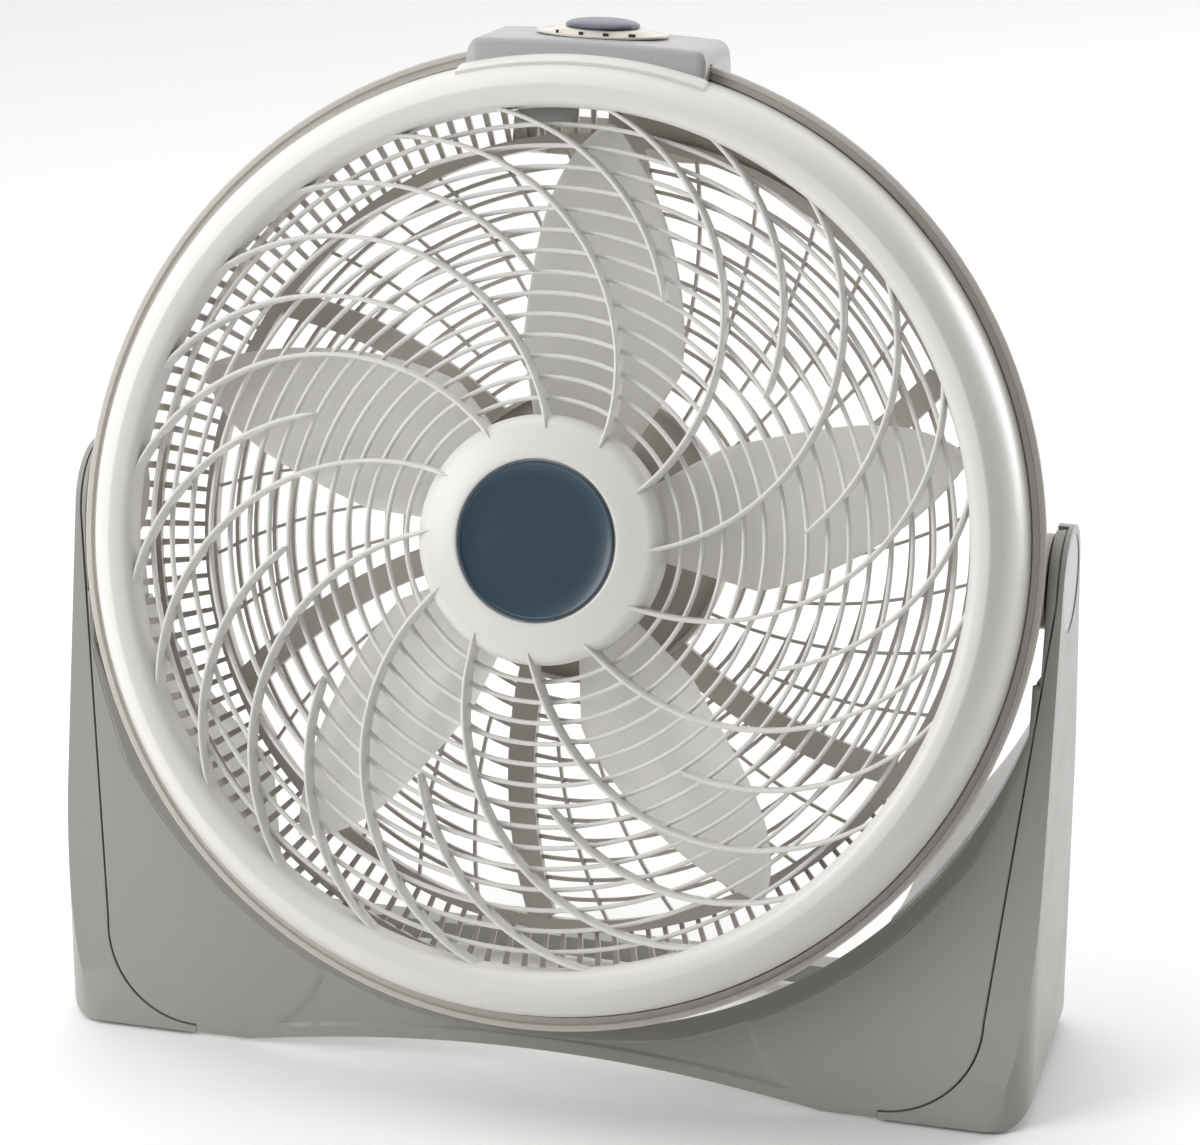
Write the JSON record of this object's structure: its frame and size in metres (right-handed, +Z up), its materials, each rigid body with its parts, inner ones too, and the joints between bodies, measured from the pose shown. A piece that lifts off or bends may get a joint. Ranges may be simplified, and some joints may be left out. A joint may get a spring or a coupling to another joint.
{
  "type": "pivoting floor fan",
  "caption": "Round floor fan whose caged head tilts in a U-shaped stand, with a spiral front grille and a rotary speed knob on top.",
  "frame": {"origin": "on the floor, at the middle of the standing fan's bounding box, below the tilt axis", "axes": "+Z up, air leaves towards -Y, +X to the right of someone facing the front; the head is stored tilted back 18 degrees"},
  "size_m": [0.56, 0.2891, 0.5712],
  "materials": {
    "stand_plastic": "satin",
    "foot_rubber": "matte",
    "cap_plastic": "gloss",
    "housing_plastic": "satin",
    "grille_plastic": "satin",
    "badge_plastic": "gloss",
    "steel": "brushed",
    "washer_nylon": "matte",
    "box_plastic": "satin",
    "plate_plastic": "satin",
    "black_plastic": "satin",
    "capacitor_plastic": "satin",
    "die_cast": "cast",
    "lamination_steel": "matte",
    "bearing_bronze": "sintered",
    "blade_plastic": "satin",
    "knob_plastic": "satin"
  },
  "bodies": {
    "stand": {"stand_apron": "stand_plastic", "side_frame_left": "stand_plastic", "side_frame_right": "stand_plastic", "rear_brace": "stand_plastic", "foot_front_left": "foot_rubber", "foot_front_right": "foot_rubber", "foot_rear_left": "foot_rubber", "foot_rear_right": "foot_rubber", "pivot_cap_left": "cap_plastic", "pivot_cap_right": "cap_plastic"},
    "head": {"rear_housing": "housing_plastic", "front_grille": "grille_plastic", "badge": "badge_plastic", "pivot_bolt_left": "steel", "pivot_bolt_right": "steel", "friction_washer_left": "washer_nylon", "friction_washer_right": "washer_nylon", "carry_handle": "housing_plastic", "control_box": "box_plastic", "dial_plate": "plate_plastic", "rotary_switch": "black_plastic", "capacitor": "capacitor_plastic", "cord_gland": "black_plastic", "motor_rear_cap": "die_cast", "motor_front_cap": "die_cast", "motor_stator": "lamination_steel", "bearing_rear": "bearing_bronze", "bearing_front": "bearing_bronze", "motor_screw_1": "steel", "motor_screw_2": "steel", "motor_screw_3": "steel"},
    "propeller": {"propeller": "blade_plastic", "rotor_core": "lamination_steel", "motor_shaft": "steel", "propeller_nut": "black_plastic"},
    "knob": {"speed_knob": "knob_plastic", "switch_shaft": "steel"}
  },
  "joints": [
    {"name": "head_tilt", "type": "hinge", "parent": "stand", "child": "head", "pos_m": [0, 0, 0.2935], "axis": [-1, 0, 0], "range_deg": [-18, 72]},
    {"name": "propeller_spin", "type": "hinge", "parent": "head", "child": "propeller", "pos_m": [0, 0, 0.2935], "axis": [0, -0.9511, 0.309], "continuous": true},
    {"name": "knob_turn", "type": "hinge", "parent": "head", "child": "knob", "pos_m": [0, 0.07032, 0.56171], "axis": [0, 0.1219, 0.9925], "range_deg": [0, 135]}
  ]
}
